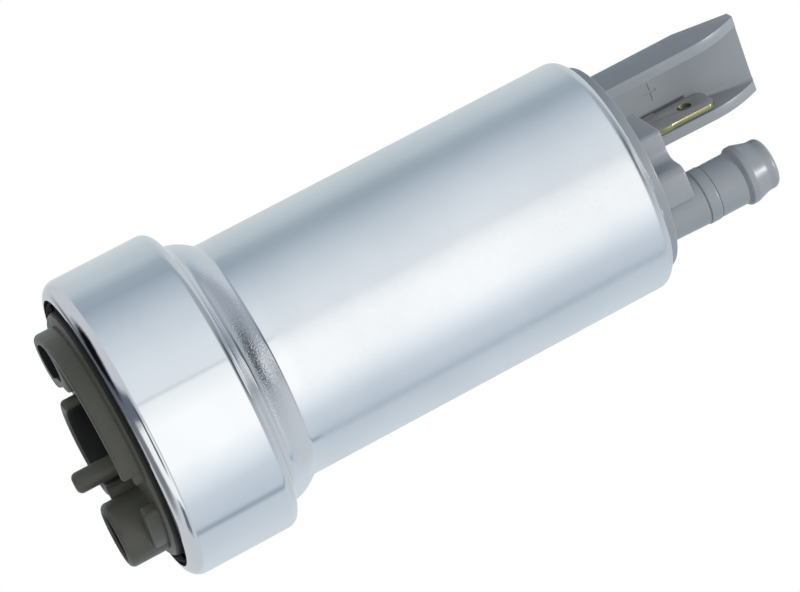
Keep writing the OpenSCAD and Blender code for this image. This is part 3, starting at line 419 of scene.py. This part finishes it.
def start_finish(name, metallic):
    """An empty finish with its shader; the metallic share is the same all over."""
    finish = bpy.data.materials.new(name)
    finish.use_nodes = True
    tree = finish.node_tree
    shader = tree.nodes["Principled BSDF"]
    shader.inputs["Metallic"].default_value = metallic
    spot = wire_up(tree, "ShaderNodeTexCoord").outputs["Object"]
    return finish, tree, shader, spot


def grain(tree, spot, scale, detail=3.0):
    """Noise of so many features per metre."""
    return wire_up(tree, "ShaderNodeTexNoise", {"Vector": spot, "Scale": scale, "Detail": detail,
                                                "Roughness": 0.5}).outputs["Fac"]


def span(tree, value, low, high, to_low=0.0, to_high=1.0, smooth=False):
    """Maps a value from one range to another."""
    return wire_up(tree, "ShaderNodeMapRange", {"Value": value, "From Min": low, "From Max": high,
                                                "To Min": to_low, "To Max": to_high},
                   interpolation_type="SMOOTHSTEP" if smooth else "LINEAR").outputs["Result"]


def blend(tree, share, a, b):
    """Mixes two colours by a share; each may be a colour or a socket."""
    mix = wire_up(tree, "ShaderNodeMix", {0: share}, data_type="RGBA")
    for key, value in ((6, a), (7, b)):
        if isinstance(value, bpy.types.NodeSocket):
            tree.links.new(value, mix.inputs[key])
        else:
            mix.inputs[key].default_value = (*value, 1)
    return mix.outputs[2]


def sums(tree, operation, a, b):
    return wire_up(tree, "ShaderNodeMath", {0: a, 1: b}, operation=operation).outputs["Value"]


def relief(tree, shader, *layers):
    """Stacks bumps of (height, distance in mm) into the shader's normal."""
    normal = None
    for height, distance in layers:
        inputs = {"Height": height, "Distance": distance * MM, "Strength": 1.0}
        if normal:
            inputs["Normal"] = normal
        normal = wire_up(tree, "ShaderNodeBump", inputs).outputs["Normal"]
    tree.links.new(normal, shader.inputs["Normal"])


def plain_finish(name, colour, second, roughness, swing, metallic=0.0, patch=90.0, fine=2600.0, depth=0.004,
                 lines=None):
    """Colour patches, uneven roughness and fine grain; lines = (axis, bands per metre, colour, depth)."""
    finish, tree, shader, spot = start_finish(name, metallic)
    shade = blend(tree, span(tree, grain(tree, spot, patch), 0.35, 0.65), colour, second)
    layers = [(grain(tree, spot, fine), depth)]
    if lines:
        axis, bands, line_colour, line_depth = lines
        wave = wire_up(tree, "ShaderNodeTexWave", {"Vector": spot, "Scale": bands, "Distortion": 0.6, "Detail": 1.0},
                       wave_type="BANDS", bands_direction=axis).outputs["Fac"]
        shade = blend(tree, span(tree, wave, 0.55, 0.95), shade, line_colour)
        layers.append((wave, line_depth))
    tree.links.new(shade, shader.inputs["Base Color"])
    tree.links.new(span(tree, grain(tree, spot, fine / 7), 0.3, 0.7, roughness - swing, roughness + swing),
                   shader.inputs["Roughness"])
    relief(tree, shader, *layers)
    return finish


def can_finish():
    """Zinc-plated steel: bright where it was rolled, satin with a frosted grain on the drawn body."""
    finish, tree, shader, spot = start_finish("zinc_plate", 1.0)
    z = wire_up(tree, "ShaderNodeSeparateXYZ", {"Vector": spot}).outputs["Z"]

    def above(low, high):
        return span(tree, z, (low - RIM_TO_ORIGIN) * MM, (high - RIM_TO_ORIGIN) * MM, smooth=True)

    body = above(24.2, 26.5)
    neck = sums(tree, "SUBTRACT", above(19.4, 20.6), above(22.6, 23.8))
    lip = span(tree, above(0.8, 2.6), 0, 1, 1, 0)
    cloud = span(tree, grain(tree, spot, 70, 2), 0.35, 0.65)
    frost = grain(tree, spot, 2400, 2)
    shade = blend(tree, cloud, (0.86, 0.875, 0.89), (0.905, 0.915, 0.925))
    tree.links.new(shade, shader.inputs["Base Color"])
    satin = span(tree, frost, 0.3, 0.7, 0.19, 0.25)
    bright = span(tree, grain(tree, spot, 300, 3), 0.3, 0.7, 0.05, 0.09)
    rough = wire_up(tree, "ShaderNodeMix", {0: body, 2: bright, 3: satin}, data_type="FLOAT").outputs[0]
    tree.links.new(rough, shader.inputs["Roughness"])
    drawn = sums(tree, "MULTIPLY", grain(tree, spot, 4000, 1), neck)
    rolled = sums(tree, "MULTIPLY", grain(tree, spot, 260, 3), lip)
    relief(tree, shader, (sums(tree, "MULTIPLY", frost, body), 0.004), (drawn, 0.045), (rolled, 0.05),
           (grain(tree, spot, 55, 1), 0.03))
    return finish


FINISHES = {
    "can_steel": can_finish(),
    "grey_plastic": plain_finish("slate_grey_moulding", (0.315, 0.337, 0.358), (0.335, 0.357, 0.378), 0.33, 0.03,
                                 depth=0.0025),
    "dark_plastic": plain_finish("olive_black_moulding", (0.128, 0.125, 0.096), (0.145, 0.141, 0.108), 0.38, 0.04,
                                 depth=0.003),
    # painted shade: a near-black copy of the olive-black moulding, for hollows and the rim's side where shade falls
    "painted_shade_plastic": plain_finish("olive_black_painted_shade", (0.014, 0.014, 0.012), (0.018, 0.018, 0.015), 0.55, 0.04),
    "seal_rubber": plain_finish("black_rubber", (0.012, 0.012, 0.012), (0.018, 0.018, 0.018), 0.6, 0.08, depth=0.01),
    "bright_steel": plain_finish("ground_steel", (0.72, 0.73, 0.75), (0.78, 0.79, 0.8), 0.16, 0.04, 1.0,
                                 lines=("Z", 1800, (0.66, 0.67, 0.69), 0.0015)),
    "core_steel": plain_finish("stacked_laminations", (0.42, 0.43, 0.45), (0.36, 0.37, 0.39), 0.4, 0.08, 1.0,
                               lines=("Z", 320, (0.16, 0.16, 0.17), 0.02)),
    "spring_steel": plain_finish("spring_wire", (0.6, 0.61, 0.63), (0.66, 0.67, 0.69), 0.24, 0.05, 1.0),
    "pump_alloy": plain_finish("cast_alloy", (0.62, 0.63, 0.64), (0.55, 0.56, 0.57), 0.42, 0.08, 1.0,
                               depth=0.02, fine=1500.0),
    "bearing_bronze": plain_finish("sintered_bronze", (0.5, 0.33, 0.16), (0.42, 0.27, 0.13), 0.5, 0.1, 1.0,
                                   depth=0.02, fine=3500.0),
    "terminal_brass": plain_finish("stamped_brass", (0.31, 0.3, 0.15), (0.38, 0.36, 0.2), 0.3, 0.06, 1.0),
    "copper": plain_finish("enamelled_copper", (0.6, 0.24, 0.09), (0.5, 0.18, 0.06), 0.28, 0.06, 1.0,
                           lines=("DIAGONAL", 520, (0.2, 0.06, 0.02), 0.06)),
    "impeller_resin": plain_finish("impeller_moulding", (0.1, 0.075, 0.05), (0.13, 0.1, 0.065), 0.45, 0.06),
    "insulator_resin": plain_finish("red_coating", (0.42, 0.06, 0.03), (0.48, 0.08, 0.04), 0.4, 0.06),
    "moulding_black": plain_finish("hub_moulding", (0.02, 0.02, 0.022), (0.03, 0.03, 0.032), 0.4, 0.06),
    "holder_plastic": plain_finish("ivory_moulding", (0.66, 0.63, 0.52), (0.6, 0.57, 0.47), 0.42, 0.06, depth=0.008),
    "carbon": plain_finish("pressed_carbon", (0.03, 0.03, 0.032), (0.045, 0.045, 0.048), 0.5, 0.08, 0.3,
                           depth=0.02, fine=3000.0),
    "ferrite": plain_finish("sintered_ferrite", (0.05, 0.05, 0.052), (0.07, 0.07, 0.073), 0.55, 0.08,
                            depth=0.015, fine=1800.0),
}
TIN = plain_finish("tinned_face", (0.42, 0.428, 0.43), (0.47, 0.477, 0.475), 0.42, 0.05, 0.2, patch=400.0)


def takes_painted_shade(face):
    """Faces that get painted shade, where shade falls: the hollows of the inlet cover, the nozzle's bore, the inside of
    the hub wall and the rim's side. Their colour is painted near black and their finish is duller.
    """
    x, y, z = face.center / MM
    radius, bearing, height = hypot(x, y), degrees(atan2(y, x)), z + RIM_TO_ORIGIN
    margin = 0.2
    hollow = (POCKET_IN - margin < radius < POCKET_OUT + margin and -132 < bearing < -83
              and height > POCKET_END + END_ROUNDING)
    bore = hypot(x - NOZZLE[0], y - NOZZLE[1]) < NOZZLE_BORE + 2 * margin and height > NOZZLE_END + 0.75
    inside_hub = abs(radius - HUB_IN) < margin and not -115 < bearing < 55 and abs(face.normal.z) < 0.5
    rim_side = radius > STEP_R - 0.25 and -0.9 < height < 3
    return hollow or bore or inside_hub or rim_side


mouldings = bpy.data.collections.new("mouldings")
for fine_piece, node, slot in (
        (can_shell(), "motor_housing", "can_steel"),
        (inlet_moulding(), "inlet_cover", "dark_plastic"),
        (outlet_moulding(), "outlet_cover", "grey_plastic"),
        (blade("blade_positive", y=1.1, back=-13.1, width=6.3, hole=1.2, shank=4, shoulder=101.45, foot=(1.1, 6.6)),
         "positive_terminal", "terminal_brass"),
        (blade("blade_negative", y=-6.65, back=-13.4, width=2.8, hole=0.6, shank=2, shoulder=None,
               foot=(-6.6, -5.85)), "negative_terminal", "terminal_brass")):
    done(fine_piece, node)
    fine_piece.data.materials.append(FINISHES[slot])
    if slot != "can_steel":
        mouldings.objects.link(fine_piece)
    if slot == "dark_plastic":
        # painted shade: the inlet cover's hollows, bore, hub inside and rim side get a second, near-black slot
        fine_piece.data.materials.append(FINISHES["painted_shade_plastic"])
        for face in fine_piece.data.polygons:
            face.material_index = int(takes_painted_shade(face))
    if slot == "terminal_brass":
        fine_piece.data.materials.append(TIN)
        for face in fine_piece.data.polygons:
            face.material_index = int(abs(face.normal.y) > 0.9)

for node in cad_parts.values():
    for held in node.material_slots:
        held.material = FINISHES[held.material.name.split(".")[0]]
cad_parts["commutator_bars"].material_slots[0].material = plain_finish(
    "turned_copper", (0.66, 0.3, 0.14), (0.58, 0.25, 0.11), 0.24, 0.05, 1.0)


# Studio

PHOTO_TURN = radians(27)  # turns the photograph's side to the front of the studio's cards
FLOOR_RADIUS, FLOOR_Z = 1.2, -0.12
FLOOR_PALENESS = 0.6


def studio():
    """A white studio: cards round the object that only the metal and the light see, and white behind it."""
    scene = bpy.context.scene
    scene.view_settings.view_transform = "Standard"
    world = bpy.data.worlds.new("studio")
    scene.world = world
    world.use_nodes = True
    tree = world.node_tree
    tree.nodes.clear()
    way = wire_up(tree, "ShaderNodeTexCoord").outputs["Generated"]
    facing = wire_up(tree, "ShaderNodeMapping", {"Vector": way, "Rotation": (0, 0, PHOTO_TURN)}).outputs["Vector"]
    parts = wire_up(tree, "ShaderNodeSeparateXYZ", {"Vector": facing})
    bearing = sums(tree, "ARCTAN2", parts.outputs["Y"], parts.outputs["X"])
    share = span(tree, bearing, -pi, pi)

    def round_cards(*stops):
        """Colours by bearing, in degrees from the camera's side."""
        cards = wire_up(tree, "ShaderNodeValToRGB", {"Fac": share})
        elements = cards.color_ramp.elements
        while len(elements) < len(stops):
            elements.new(0.5)
        for element, (angle, *_) in zip(elements, stops):
            element.position = (angle + 180) / 360
        for element, (_, *colour) in zip(elements, stops):
            element.color = (*colour, 1)
        return cards.outputs["Color"]

    low = round_cards((-180, 0.68, 0.72, 0.74), (-144, 0.6, 0.66, 0.69), (-116, 0.5, 0.57, 0.62),
                      (-104, 0.36, 0.43, 0.49), (-92, 0.33, 0.4, 0.47), (-76, 0.46, 0.53, 0.6), (-56, 0.62, 0.68, 0.74),
                      (-30, 0.76, 0.81, 0.86), (-10.5, 0.8, 0.84, 0.88), (-9.3, 0.55, 0.6, 0.66), (-8, 0.9, 0.93, 0.95),
                      (10, 1.05, 1.07, 1.08), (40, 1.05, 1.07, 1.08), (58, 0.82, 0.87, 0.92), (72, 0.62, 0.69, 0.76),
                      (94, 0.54, 0.61, 0.69), (99, 0.3, 0.36, 0.43), (103, 0.56, 0.63, 0.7), (140, 0.64, 0.7, 0.75))
    upper = round_cards((-180, 0.6, 0.64, 0.67), (-112, 0.57, 0.62, 0.67), (-98, 0.36, 0.4, 0.46),
                        (-32, 0.36, 0.4, 0.45), (22, 0.34, 0.37, 0.41), (50, 0.47, 0.5, 0.54), (100, 0.56, 0.6, 0.64))

    def toward(axis, low, high):
        """Rises smoothly from 0 to 1 as the look turns along the axis."""
        dot = wire_up(tree, "ShaderNodeVectorMath", {0: facing, 1: axis}, operation="DOT_PRODUCT").outputs["Value"]
        return span(tree, dot, low, high, smooth=True)

    def strip(*edges):
        """The share of a card that lies inside all its edges, each given as an argument list of toward()."""
        inside = toward(*edges[0])
        for edge in edges[1:]:
            inside = sums(tree, "MULTIPLY", inside, toward(*edge))
        return inside

    light = blend(tree, toward(UP, 0.4, 0.6), low, upper)
    light = blend(tree, toward(UP, 0.95, 0.995), light, (0.3, 0.33, 0.37))
    light = blend(tree, toward(UP, 0.0, -0.12), light, (0.58, 0.61, 0.64))
    for card_shape, card_colour in (
            (((UP, 0.985, 0.998),), (0.9, 0.93, 0.96)),
            (((UP, 0.58, 0.72), (UP, 0.93, 0.87), (SIDE, -0.55, -0.15), (SIDE, 0.4, 0.12), (FRONT, 0.0, 0.2)),
             (0.1, 0.11, 0.125)),
            ((((0.37, 0.09, 0.925), 0.98, 0.99),), (0.7, 0.73, 0.76)),
            (((UP, -0.15, -0.3), (FRONT, 0.1, 0.35), (SIDE, 0.0, 0.15)), (0.95, 0.98, 1.0)),
            (((UP, -0.7, -0.88), (FRONT, 0.35, 0.0)), (0.2, 0.21, 0.23)),
            (((UP, -0.2, -0.55), (SIDE, -0.42, -0.24), (SIDE, 0.08, -0.04)), (0.13, 0.15, 0.19)),
            (((UP, -0.6, -0.76), (FRONT, 0.25, -0.08), (SIDE, -0.06, -0.28)), (0.005, 0.005, 0.008)),
            (((UP, -0.34, -0.42), (UP, -0.6, -0.5), (SIDE, -0.25, -0.1), (FRONT, 0.55, 0.75)), (0.08, 0.09, 0.1)),
            (((UP, -0.25, -0.35), (UP, -0.6, -0.5), (FRONT, -0.3, -0.1), (FRONT, 0.35, 0.2), (SIDE, 0.4, 0.6)),
             (0.15, 0.17, 0.2))):
        light = blend(tree, strip(*card_shape), light, card_colour)
    path = wire_up(tree, "ShaderNodeLightPath")
    soft = span(tree, parts.outputs["Z"], -0.5, 0.2, 0.64, 0.76)
    fill = wire_up(tree, "ShaderNodeMix", {0: path.outputs["Is Diffuse Ray"], 2: 1.0, 3: soft}, data_type="FLOAT")
    cards_light = wire_up(tree, "ShaderNodeBackground", {"Color": light, "Strength": fill.outputs[0]})
    white = wire_up(tree, "ShaderNodeBackground", {"Color": (1, 1, 1, 1), "Strength": 1.0})
    seen = path.outputs["Is Camera Ray"]
    mixed = wire_up(tree, "ShaderNodeMixShader", {0: seen, 1: cards_light.outputs[0], 2: white.outputs[0]})
    wire_up(tree, "ShaderNodeOutputWorld", {"Surface": mixed.outputs[0]})


def key_light():
    """A soft box high above the camera that gives the mouldings, and not the can, their small highlights."""
    data = bpy.data.lights.new("soft_box", "AREA")
    data.shape, data.size, data.energy = "SQUARE", 0.07, 3.6
    lamp = bpy.data.objects.new("soft_box", data)
    bpy.context.scene.collection.objects.link(lamp)
    lamp.light_linking.receiver_collection = mouldings
    way = Matrix.Rotation(-PHOTO_TURN, 3, "Z") @ Vector((0.61, 0.3, 0.73)).normalized()
    lamp.matrix_world = Matrix.Translation(way * 0.8 + Vector((0, 0, 0.03))) @ way.to_track_quat(
        "Z", "Y").to_matrix().to_4x4()


def pale_floor():
    """A round pale floor below the object: it fades into the white behind it, and from below it isn't seen."""
    bpy.ops.object.select_all(action="DESELECT")
    bpy.ops.mesh.primitive_circle_add(vertices=96, radius=FLOOR_RADIUS, fill_type="NGON", location=(0, 0, FLOOR_Z))
    floor = bpy.context.object
    floor.name = "floor"
    bpy.ops.object.transform_apply(location=True, rotation=False, scale=False)
    finish = bpy.data.materials.new("pale_floor")
    finish.use_nodes = True
    tree = finish.node_tree
    shader = tree.nodes["Principled BSDF"]
    shader.inputs["Base Color"].default_value = (0.9, 0.9, 0.9, 1)
    shader.inputs["Roughness"].default_value = 0.9
    spot = wire_up(tree, "ShaderNodeTexCoord").outputs["Object"]
    distance = wire_up(tree, "ShaderNodeVectorMath", {0: spot}, operation="LENGTH").outputs["Value"]
    fade = span(tree, distance, 0.35, 1.1, smooth=True)
    seen = wire_up(tree, "ShaderNodeLightPath").outputs["Is Camera Ray"]
    white = wire_up(tree, "ShaderNodeEmission", {"Color": (1, 1, 1, 1), "Strength": 1.0})
    pale = wire_up(tree, "ShaderNodeMixShader", {0: sums(tree, "MULTIPLY", seen, FLOOR_PALENESS),
                                                 1: shader.outputs[0], 2: white.outputs[0]})
    under = wire_up(tree, "ShaderNodeNewGeometry").outputs["Backfacing"]
    hidden = sums(tree, "MAXIMUM", fade, sums(tree, "MULTIPLY", seen, under))
    clear = wire_up(tree, "ShaderNodeBsdfTransparent")
    mixed = wire_up(tree, "ShaderNodeMixShader", {0: hidden, 1: pale.outputs[0], 2: clear.outputs[0]})
    tree.links.new(mixed.outputs[0], tree.nodes["Material Output"].inputs["Surface"])
    floor.data.materials.append(finish)
    floor.visible_glossy = False


def photo_camera():
    """The camera of the photograph: below the inlet end, looking up along the can, rolled over."""
    right, down, forward = ((0.17577, 0.46780, 0.86618), (-0.09303, 0.88384, -0.45846), (-0.98003, 0, 0.19887))
    turn = Matrix.Rotation(-PHOTO_TURN, 3, "Z")
    side, up, back = turn @ Vector(right), turn @ -Vector(down), turn @ -Vector(forward)
    data = bpy.data.cameras.new("camera")
    data.lens, data.sensor_width, data.clip_start = 151.007, 36, 0.01
    camera = bpy.data.objects.new("camera", data)
    bpy.context.scene.collection.objects.link(camera)
    camera.matrix_world = Matrix.Translation((0.448805, -0.226705, -0.10845)) @ Matrix(
        (side, up, back)).transposed().to_4x4()
    bpy.context.scene.camera = camera


studio()
key_light()
pale_floor()
photo_camera()
